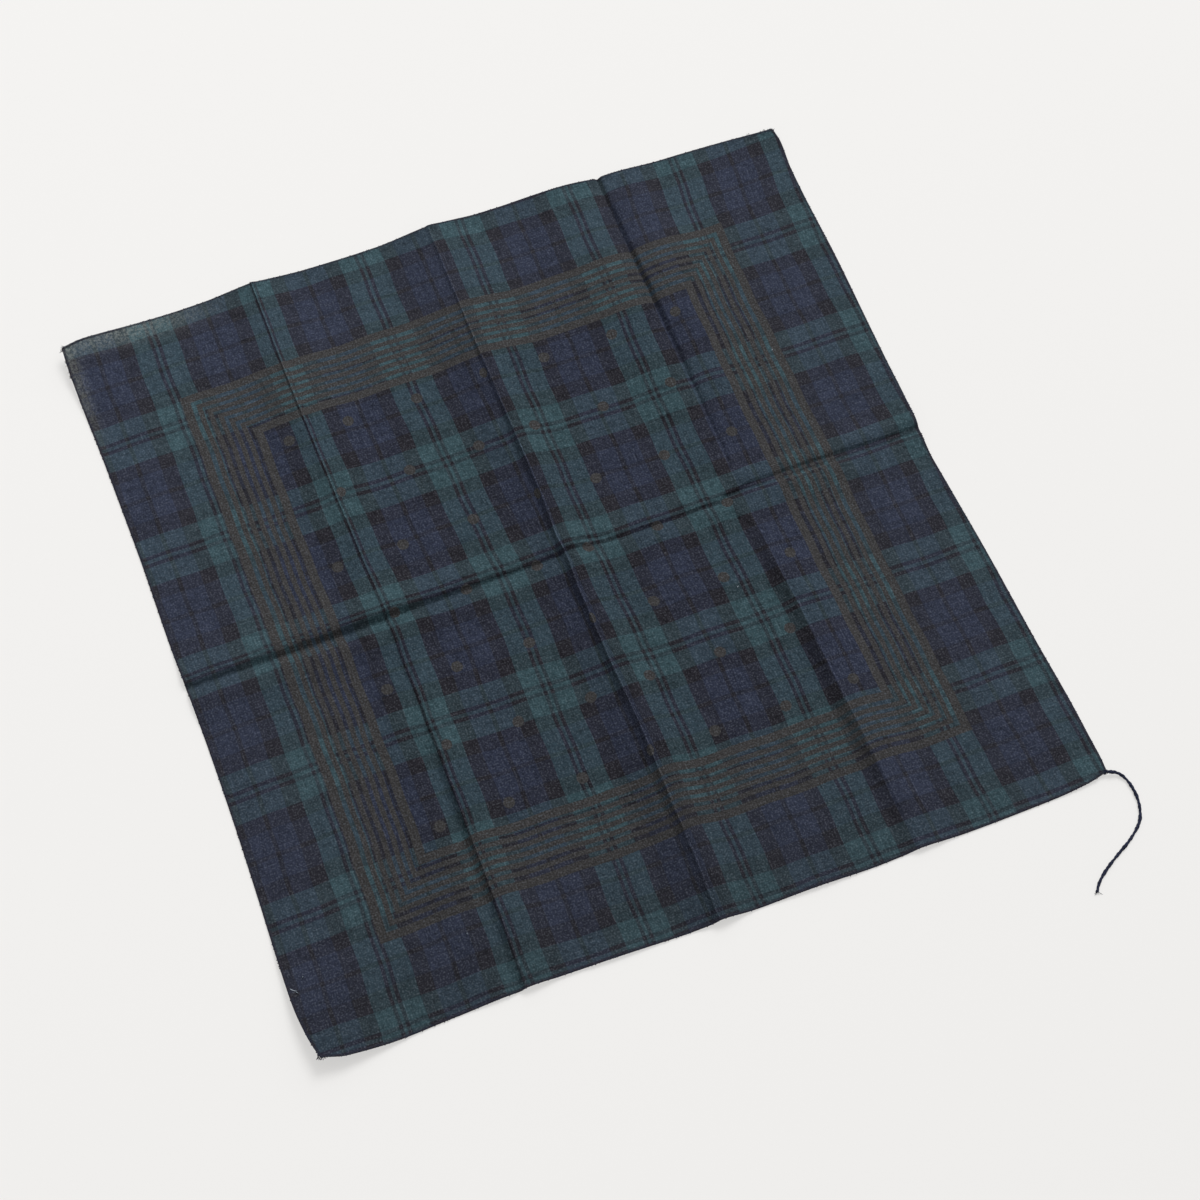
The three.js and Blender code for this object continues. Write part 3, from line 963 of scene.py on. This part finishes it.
@dataclass
class ThreadTail:
    """The end of the overlock thread, left hanging from a corner and lying on the surface.

    Attributes:
        finish: The thread's material.
        radius: Half the thread's thickness.
        plies: How many strands are twisted together.
        twist: Length of one full turn of the plies.
        lead: Points between the last stitches at the corner and the route's start, in metres.
        route: Points that its centre line follows, in metres.
    """

    finish: Material
    radius: float = 1.06 * MM
    plies: int = 3
    twist: float = 9.0 * MM
    lead: tuple[Triple, ...] = (
        (0.2610, -0.2608, 0.0019), (0.2620, -0.2614, 0.0023), (0.2630, -0.2621, 0.0026),
        (0.2641, -0.2627, 0.0026),
    )
    route: tuple[Triple, ...] = (
        (0.2637, -0.2626, 0.0026), (0.2660, -0.2634, 0.0024), (0.2684, -0.2647, 0.002),
        (0.2705, -0.2668, 0.0015), (0.2720, -0.2695, 0.00115), (0.2730, -0.2728, 0.00098),
        (0.2735, -0.2766, 0.00092), (0.2736, -0.2805, 0.00092), (0.2733, -0.2844, 0.00092),
        (0.2725, -0.2884, 0.00092), (0.2712, -0.2922, 0.00092), (0.2696, -0.2957, 0.00092),
        (0.2676, -0.2987, 0.00092), (0.2650, -0.3014, 0.00092), (0.2611, -0.3045, 0.00092),
        (0.2568, -0.3074, 0.00092), (0.2524, -0.3100, 0.00092), (0.2476, -0.3124, 0.00092),
        (0.2429, -0.3149, 0.00092), (0.2383, -0.3174, 0.00092), (0.2340, -0.3200, 0.00092),
        (0.2301, -0.3226, 0.00092), (0.2268, -0.3252, 0.00092), (0.2240, -0.3280, 0.00092),
        (0.2216, -0.3313, 0.00092),
    )

    def centre_line(self, steps: int = 10) -> list[Vector]:
        """Draws a smooth line through the route's points.

        Args:
            steps: How many steps each stretch between two points is cut into.

        Returns:
            The line's points.
        """
        points = [Vector(p) for p in self.route]
        ends = [2 * points[0] - points[1], *points, 2 * points[-1] - points[-2]]
        line = []
        for a, b, c, d in zip(ends, ends[1:], ends[2:], ends[3:]):
            for k in range(steps):
                t = k / steps
                line.append(
                    0.5 * (2 * b + (c - a) * t + (2 * a - 5 * b + 4 * c - d) * t**2)
                    + 0.5 * (3 * b - a - 3 * c + d) * t**3
                )
        return [*line, points[-1]]

    def build(self) -> Object:
        """Twists the plies along the route.

        Returns:
            The thread's twisted plies.
        """
        line = self.centre_line()
        length = sum((b - a).length for a, b in zip(line, line[1:]))
        routes = [[] for _ in range(self.plies)]
        gone = 0.0
        for i, point in enumerate(line):
            ahead = (line[min(i + 1, len(line) - 1)] - line[max(i - 1, 0)]).normalized()
            side = ahead.cross(Vector((0, 0, 1))).normalized()
            over = side.cross(ahead)
            gone += (point - line[i - 1]).length if i else 0.0
            swell = 1.0 + 0.13 * math.sin(gone / MM * 0.83) + 0.1 * math.sin(gone / MM * 0.31 + 1.0)
            ply, off = self.radius * 0.58 * swell, self.radius * 0.45 * swell
            for k, route in enumerate(routes):
                turn = 2 * math.pi * (gone / self.twist + k / self.plies)
                at = point + off * (math.cos(turn) * side + math.sin(turn) * over)
                route.append((at.x, at.y, max(at.z, ply + 0.01 * MM), ply))
        piece = object_of("thread_tail_plies", strands(routes, 2), self.finish)
        frays, knot = self.frayed_end(line), self.knot()
        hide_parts("thread_tail")
        for part in (piece, frays, knot):
            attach(part, "root")
        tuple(self.route[0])
        2 * self.radius
        return piece

    def knot(self) -> Object:
        """Gathers the thread into the last stitches at the corner.

        Returns:
            The gathered strands.
        """
        routes = []
        for k in range(5):
            turn = 2 * math.pi * k / 5
            route = []
            for step, point in enumerate(self.lead):
                off = self.radius * (0.75 - 0.12 * step)
                round_it = Vector((0.5 * math.cos(turn), math.cos(turn), math.sin(turn)))
                route.append((*(Vector(point) + off * round_it), self.radius * 0.42))
            routes.append(route)
        return object_of("corner_knot", strands(routes, 1), self.finish)

    def frayed_end(self, line: list[Vector]) -> Object:
        """Splays a few fibres from the thread's cut end.

        Args:
            line: The thread's centre line.

        Returns:
            The fibres.
        """
        draw = random.Random(5)
        end, ahead = line[-1], (line[-1] - line[-6]).normalized()
        side = ahead.cross(Vector((0, 0, 1))).normalized()
        routes = []
        for k in range(11):
            lean = draw.uniform(-0.7, 0.7) if k > 1 else (-1.6, 0.25)[k]
            reach = draw.uniform(1.5, 3.2) * MM if k > 1 else (4.2, 4.4)[k] * MM
            start = end - ahead * draw.uniform(0.6, 2.4) * MM
            thick = draw.uniform(0.09, 0.16) * MM if k > 1 else 0.26 * MM
            route = []
            for step in range(5):
                t = step / 4
                at = start + (ahead + side * lean * t).normalized() * reach * t
                height = max(thick, at.z * (1 - 0.7 * t))
                route.append((at.x, at.y, height, thick * (1 - 0.6 * t)))
            routes.append(route)
        return object_of("thread_tail_frayed_end", strands(routes, 0), self.finish)


@dataclass
class Cloth:
    """The bandana's single sheet of cotton.

    Attributes:
        relief: How high it lies.
        finish: The cloth's material.
        columns: Strips of the mesh in each of the four panels across.
        rows: Strips in each of the two panels up.
        thickness: The sheet's own thickness.
        tuck: How far its edge stays inside the bound hem.
        hem_width: Width of the bound hem.
        air: How far the sheet's underside is kept off the surface.
        roll: How far its edge swells, over roll_width.
        roll_width: How far in from its edge that reaches.
        flat: Width and length that it was cut to, in metres. Not used.
    """

    relief: Relief
    finish: Material
    columns: int = 58
    rows: int = 102
    thickness: float = 0.5
    tuck: float = 0.9
    hem_width: float = 1.9
    air: float = 0.15
    roll: float = 0.45
    roll_width: float = 5.0
    flat: tuple[float, float] = (0.534, 0.531)

    def lines_across(self, y: Array) -> list[Array]:
        """Where the edges and creases cross the cloth at each height."""
        lines = [rows.read(y, "line") for rows in self.relief.upright]
        return [LEFT_EDGE.read(y) + self.tuck, *lines, RIGHT_EDGE.read(y) - self.tuck]

    def lines_up(self, x: Array) -> list[Array]:
        """Where the edges and the cross crease lie at each place along X."""
        crease = self.relief.cross.read(x, "line")
        return [NEAR_EDGE.read(x) + self.tuck, crease, FAR_EDGE.read(x) - self.tuck]

    @staticmethod
    def graded(share: Array) -> Array:
        """Moves the mesh's rulings towards the two ends of a panel."""
        return share - 0.88 * np.sin(2 * math.pi * share) / (2 * math.pi)

    def between(self, lines: list[Array], share: Array) -> Array:
        """Finds places between the lines that bound the panels.

        Args:
            lines: The lines' own places.
            share: How many panels along each place is.

        Returns:
            The places.
        """
        panel = np.clip(np.floor(share).astype(int), 0, len(lines) - 2)
        stack = np.stack(lines)
        each = np.arange(stack.shape[1])
        start, end = stack[panel, each], stack[panel + 1, each]
        return start + (end - start) * self.graded(share - panel)

    def build(self) -> Object:
        """Lays the sheet in its folds.

        Returns:
            The sheet.
        """
        across, up = 4 * self.columns, 2 * self.rows
        grid = bmesh.new()
        bmesh.ops.create_grid(grid, x_segments=across, y_segments=up, size=0.5)
        mesh = bpy.data.meshes.new("bandana_cloth")
        grid.to_mesh(mesh)
        grid.free()
        place = np.empty(len(mesh.vertices) * 3)
        mesh.vertices.foreach_get("co", place)
        place = place.reshape(-1, 3)
        column = (place[:, 0] + 0.5) * 4
        row = (place[:, 1] + 0.5) * 2
        x = self.between(self.lines_across(np.zeros(len(place))), column)
        y = self.between(self.lines_up(x), row)
        for _ in range(5):
            x = self.between(self.lines_across(y), column)
            y = self.between(self.lines_up(x), row)

        left, _, _, _, right = self.lines_across(y)
        near, _, far = self.lines_up(x)
        inside = np.minimum.reduce([x - left, right - x, y - near, far - y])
        height = self.relief.height(x, y)
        top = height + self.air + self.thickness + self.roll * bell(inside, self.roll_width)
        mesh.vertices.foreach_set("co", (np.stack([x, y, top], -1) * MM).ravel())

        u, v = Cut(self.relief).place(x, y)
        corner = np.empty(len(mesh.loops), int)
        mesh.loops.foreach_get("vertex_index", corner)
        layer = mesh.uv_layers.new(name="cut_cloth")
        layer.uv.foreach_set("vector", (np.stack([u, v], -1)[corner] * MM).ravel())
        for name, values in self.marks(x, y, inside).items():
            attribute = mesh.attributes.new(name, "FLOAT", "POINT")
            attribute.data.foreach_set("value", values.astype(np.float32))
        mesh.update()

        piece = object_of("bandana_cloth", mesh, self.finish)
        wall = piece.modifiers.new("thickness", "SOLIDIFY")
        wall.thickness = self.thickness * MM
        wall.offset = -1.0
        wall.use_even_offset = False
        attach(piece, "root")
        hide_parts("cloth")
        return piece

    def marks(self, x: Array, y: Array, inside: Array) -> dict[str, Array]:
        """Works out what the mesh keeps at each point for the cloth's material.

        Args:
            x: Places along X.
            y: Places along Y.
            inside: How far in from the edge they are.

        Returns:
            hem: how far a place is bound. pale: a painted glow, light painted where it falls on the
                lifted far left corner and shows through the thin cloth. wear_and_crest_highlight: a
                painted highlight along the crests of the creases. painted_shading: painted light
                and shade, lighter away from the near edge and at the far left corner, darker along
                the near edge and along the middle crease.
        """
        # Painted highlight: a bright line along the crest of each upright crease, strongest on the
        # middle one.
        crest_highlight = np.zeros(len(x))
        for rows, share in zip(self.relief.upright, (0.6, 1.0, 0.55), strict=True):
            tall = rows.read(y, "wall") + 0.5 * rows.read(y, "crest")
            line = bell(x - rows.read(y, "line") - 0.25, 1.1)
            crest_highlight = np.maximum(crest_highlight, share * np.clip(tall / 3.5, 0, 1) * line)
        # Painted light on the lifted far left corner and down the far end of the left edge.
        far = bell(y - 262, 20) * bell(x + 235, 110)
        side = bell(x + 258, 12) * bell(y - 235, 70)
        # Painted light and shade: the cloth's colour is made lighter away from the near edge and at
        # the far left corner, and darker along the near edge and along the middle crease.
        drift = (0.0004 - 6e-7 * x) * y
        near = 0.12 * bell(y + 270, 110) * (1 - np.clip((x - 100) / 150, 0, 1))
        middle = (0.085 - 0.00012 * y) * bell(x, 46)
        corner = 0.07 * bell(x + 262, 130) * bell(y - 262, 240)
        return {
            "hem": np.clip((self.hem_width - self.tuck + 0.4 - inside) / 0.8, 0, 1),
            "pale": np.clip(0.5 * far + 0.34 * side, 0, 1),
            "wear_and_crest_highlight": crest_highlight,
            "painted_shading": 1 + drift - near - middle + corner,
        }


@dataclass
class BoundHem:
    """The overlocked edge: a row of stitches wrapped round the rim of the cloth.

    Attributes:
        relief: How high the cloth lies.
        finish: The thread's material.
        spacing: From one stitch to the next.
        strand: Radius of the thread.
        width: How far in from the rim the stitches reach.
        half: Half the bound edge's thickness.
        inset: How far the stitches lie inside the edge's outline.
    """

    relief: Relief
    finish: Material
    spacing: float = 1.1
    strand: float = 0.22
    width: float = 1.5
    half: float = 0.62
    inset: float = 0.45

    def rim(self) -> list[tuple[Vector, Vector]]:
        """Walks once round the cloth's rim.

        Returns:
            For each stitch its place on the rim and the way out from the cloth.
        """
        fine = 0.25
        corners = []
        for rows, upright, forward in (
            (NEAR_EDGE, False, True),
            (RIGHT_EDGE, True, True),
            (FAR_EDGE, False, False),
            (LEFT_EDGE, True, False),
        ):
            low, high = rows.rows[0][0], rows.rows[-1][0]
            along = np.linspace(low, high, int((high - low) / fine))
            out = rows.read(along)
            side = np.stack([out, along] if upright else [along, out], -1)
            corners.append(side if forward else side[::-1])
        loop = np.concatenate(corners)
        for _ in range(30):
            loop = 0.5 * loop + 0.25 * (np.roll(loop, 1, 0) + np.roll(loop, -1, 0))
        gaps = np.linalg.norm(np.roll(loop, -1, 0) - loop, axis=1)
        gone = np.concatenate([[0], np.cumsum(gaps)])
        count = round(gone[-1] / self.spacing)
        wanted = np.arange(count) * gone[-1] / count
        closed = np.concatenate([loop, loop[:1]])
        x, y = (np.interp(wanted, gone, closed[:, k]) for k in (0, 1))
        ahead = np.stack([np.roll(x, -1) - np.roll(x, 1), np.roll(y, -1) - np.roll(y, 1)], -1)
        ahead /= np.linalg.norm(ahead, axis=1)[:, None]
        z = self.relief.height(x, y) + self.half + 0.05
        return [
            (Vector((x[i], y[i], z[i])), Vector((ahead[i, 1], -ahead[i, 0], 0.0)))
            for i in range(count)
        ]

    def build(self) -> Object:
        """Sews the stitches.

        Returns:
            The bound edge.
        """
        draw = random.Random(11)
        rim = self.rim()
        over = (
            (-1.0, 0.0, 0.35), (-0.7, 0.12, 0.78), (-0.35, 0.28, 0.95), (-0.08, 0.42, 0.62),
            (0.0, 0.5, 0.0), (-0.08, 0.58, -0.62), (-0.35, 0.72, -0.95), (-0.7, 0.88, -0.78),
            (-1.0, 1.0, -0.35),
        )
        reach = self.half - self.strand
        routes = []
        for i, (place, out) in enumerate(rim):
            ahead = rim[(i + 1) % len(rim)][0] - place
            width = self.width * draw.uniform(0.6, 1.1)
            proud = draw.uniform(-0.2, 0.2) + draw.choice((0.0, 0.0, 0.0, 0.35)) - self.inset
            slant = draw.uniform(0.3, 1.6)
            thick = self.strand * draw.uniform(0.75, 1.3)
            route = []
            for inward, along, high in over:
                at = place + out * (inward * width + proud - self.strand) + ahead * along * slant
                z = max(at.z + high * reach, thick + 0.02)
                route.append((at.x * MM, at.y * MM, z * MM, thick * MM))
            routes.append(route)
        for inward, height, thick in ((1.0, 0.4, 0.14), (0.0, 0.0, 0.34)):
            route = []
            for i, (place, out) in enumerate(rim):
                at = place - out * (inward * self.width + self.inset + (0.0 if inward else 0.3))
                z = at.z + height * reach + 0.08 * (i % 2)
                route.append((at.x * MM, at.y * MM, z * MM, thick * MM))
            routes.append([*route, route[0]])
        piece = object_of("overlocked_hem", strands(routes, 1), self.finish)
        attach(piece, "root")
        return piece


@dataclass
class Frays:
    """Short broken threads at the corners, and a few pale fibres lying on the cloth.

    Attributes:
        relief: How high the cloth lies.
        binding: The broken threads' material.
        pale: The fibres' material.
        corners: For each corner its place, the way out of it and how many threads stick out there.
        fibres: For each loose fibre its place, its direction and its length.
    """

    relief: Relief
    binding: Material
    pale: Material
    corners: tuple[tuple[float, float, float, float, int], ...] = (
        (-258.4, 256.8, -0.9, 0.45, 9), (-259.0, 246.0, -1.0, 0.0, 6),
        (-258.8, 236.0, -1.0, 0.0, 5), (259.2, 261.0, 0.4, 0.9, 10), (252.0, 262.2, 0.0, 1.0, 6),
        (240.5, 263.2, 0.0, 1.0, 4), (-258.4, -261.6, -0.3, -0.95, 12),
        (262.6, -261.6, 0.9, -0.3, 7),
    )
    fibres: tuple[tuple[float, float, float, float], ...] = (
        (-260.2, -215.2, -0.7, 4.2), (-258.6, -217.2, -0.9, 1.6), (-252.0, -208.9, 0.4, 0.9),
        (-150.6, -218.0, 1.1, 0.9), (96.0, -60.0, 0.5, 1.3), (-40.0, 172.0, 2.2, 1.1),
        (188.0, 96.0, 0.9, 1.0),
    )

    def lying(self, x: float, y: float) -> float:
        """Finds the height of the cloth's upper side at a place, in millimetres."""
        return float(self.relief.height(np.array([x]), np.array([y]))[0]) + 0.75

    def threads(self) -> Object:
        """Lets broken threads stick out of the bound edge.

        Returns:
            The threads.
        """
        draw = random.Random(23)
        routes = []
        for x, y, out_x, out_y, count in self.corners:
            for _ in range(count):
                lean = draw.uniform(-0.5, 0.5)
                reach = draw.uniform(2.2, 3.4)
                slide = draw.uniform(-2.4, 2.4)
                start = (x - 2.2 * out_x - out_y * slide, y - 2.2 * out_y + out_x * slide)
                thick = draw.uniform(0.22, 0.4)
                low = self.lying(*start)
                route = []
                for step in range(4):
                    t = step / 3
                    at_x = start[0] + (out_x - out_y * lean * t) * reach * t
                    at_y = start[1] + (out_y + out_x * lean * t) * reach * t
                    z = max(low * (1 - 0.1 * t), thick + 0.02)
                    route.append((at_x * MM, at_y * MM, z * MM, thick * (1 - 0.5 * t) * MM))
                routes.append(route)
        piece = object_of("broken_threads", strands(routes, 1), self.binding)
        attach(piece, "root")
        return piece

    def lint(self) -> Object:
        """Drops pale fibres on the cloth.

        Returns:
            The fibres.
        """
        routes = []
        for x, y, turn, length in self.fibres:
            route = []
            for step in range(5):
                t = step / 4 - 0.5
                at_x = x + length * t * math.cos(turn) - 0.3 * math.sin(turn) * t * t * length
                at_y = y + length * t * math.sin(turn) + 0.3 * math.cos(turn) * t * t * length
                z = self.lying(at_x, at_y) + 0.22
                route.append((at_x * MM, at_y * MM, z * MM, 0.2 * MM))
            routes.append(route)
        piece = object_of("lint", strands(routes, 1), self.pale)
        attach(piece, "root")
        return piece


class Studio:
    """The camera, the soft light and the pale surface."""

    EYE = (-344.24, -714.22, 1560.57)
    LOOKS_AT = (8.98, -37.22, 0.0)
    ROLL = math.radians(6.28)
    LENS = 81.0
    FROM = (0.435, 0.557, 0.707)
    KEY = 2.04
    FILL = 142.0
    ROOM = 0.33
    SUN_SPREAD = math.radians(28)
    SOFT_BOX = 6.0
    AWAY = 4.8
    FLOOR = 20.0

    def camera(self) -> None:
        """Sets the camera up at the photograph's viewing angle."""
        eye = Vector(self.EYE) * MM
        back = (eye - Vector(self.LOOKS_AT) * MM).normalized()
        level = Vector((0, 0, 1)).cross(back).normalized()
        rise = back.cross(level)
        right = level * math.cos(self.ROLL) + rise * math.sin(self.ROLL)
        up = rise * math.cos(self.ROLL) - level * math.sin(self.ROLL)
        data = bpy.data.cameras.new("camera")
        data.lens = self.LENS
        data.sensor_width = 36.0
        data.clip_start = 0.05
        camera = bpy.data.objects.new("camera", data)
        turned = Matrix((right, up, back)).transposed().to_4x4()
        camera.matrix_world = Matrix.Translation(eye) @ turned
        bpy.context.scene.collection.objects.link(camera)
        bpy.context.scene.camera = camera

    def surface(self) -> None:
        """Spreads the pale surface under the cloth."""
        grid = bmesh.new()
        bmesh.ops.create_grid(grid, x_segments=8, y_segments=8, size=self.FLOOR)
        mesh = bpy.data.meshes.new("surface")
        grid.to_mesh(mesh)
        grid.free()
        surface = object_of("surface", mesh, FloorFinish().material())

    def light(self) -> None:
        """Lights the scene from a wide soft source and a pale room."""
        scene = bpy.context.scene
        scene.view_settings.view_transform = "Standard"
        scene.view_settings.look = "None"
        world = bpy.data.worlds.new("room")
        world.use_nodes = True
        background = world.node_tree.nodes["Background"]
        background.inputs[0].default_value = (1.0, 1.0, 1.0, 1.0)
        background.inputs[1].default_value = self.ROOM
        scene.world = world
        toward = Vector(self.FROM).normalized()
        turned = toward.to_track_quat("Z", "Y").to_euler()
        sun = bpy.data.lights.new("window", "SUN")
        sun.angle = self.SUN_SPREAD
        sun.energy = self.KEY
        soft = bpy.data.lights.new("soft_box", "AREA")
        soft.shape = "SQUARE"
        soft.size = self.SOFT_BOX
        soft.energy = self.FILL
        for lamp in (sun, soft):
            holder = bpy.data.objects.new(lamp.name, lamp)
            holder.location = toward * self.AWAY
            holder.rotation_euler = turned
            holder.visible_camera = False
            scene.collection.objects.link(holder)


def main() -> None:
    """Builds the scene, piece by piece."""
    logging.basicConfig(level=logging.INFO, format="%(message)s")
    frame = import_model()
    LOG.info("frame: %s", ", ".join(sorted(frame["nodes"])))

    studio = Studio()
    studio.camera()
    navy, brown = linear(33, 38, 60), linear(47, 42, 50)
    loose = ThreadFinish("loose_thread", navy, linear(27, 31, 50))
    tail = ThreadTail(loose.material()).build()
    LOG.info("tail: %d points", len(tail.data.vertices))

    relief = Relief()
    binding = ThreadFinish("binding_thread", linear(38, 43, 58), brown).material()
    hem = BoundHem(relief, binding).build()
    LOG.info("hem: %d points", len(hem.data.vertices))
    cloth = Cloth(relief, TartanFinish().material())
    sheet = cloth.build()
    pale = ThreadFinish("pale_lint", linear(170, 178, 188), linear(120, 130, 140))
    frays = Frays(relief, binding, pale.material())
    threads, lint = frays.threads(), frays.lint()
    LOG.info("cloth: %d points", len(sheet.data.vertices))

    studio.surface()
    studio.light()


if __name__ == "__main__":
    main()
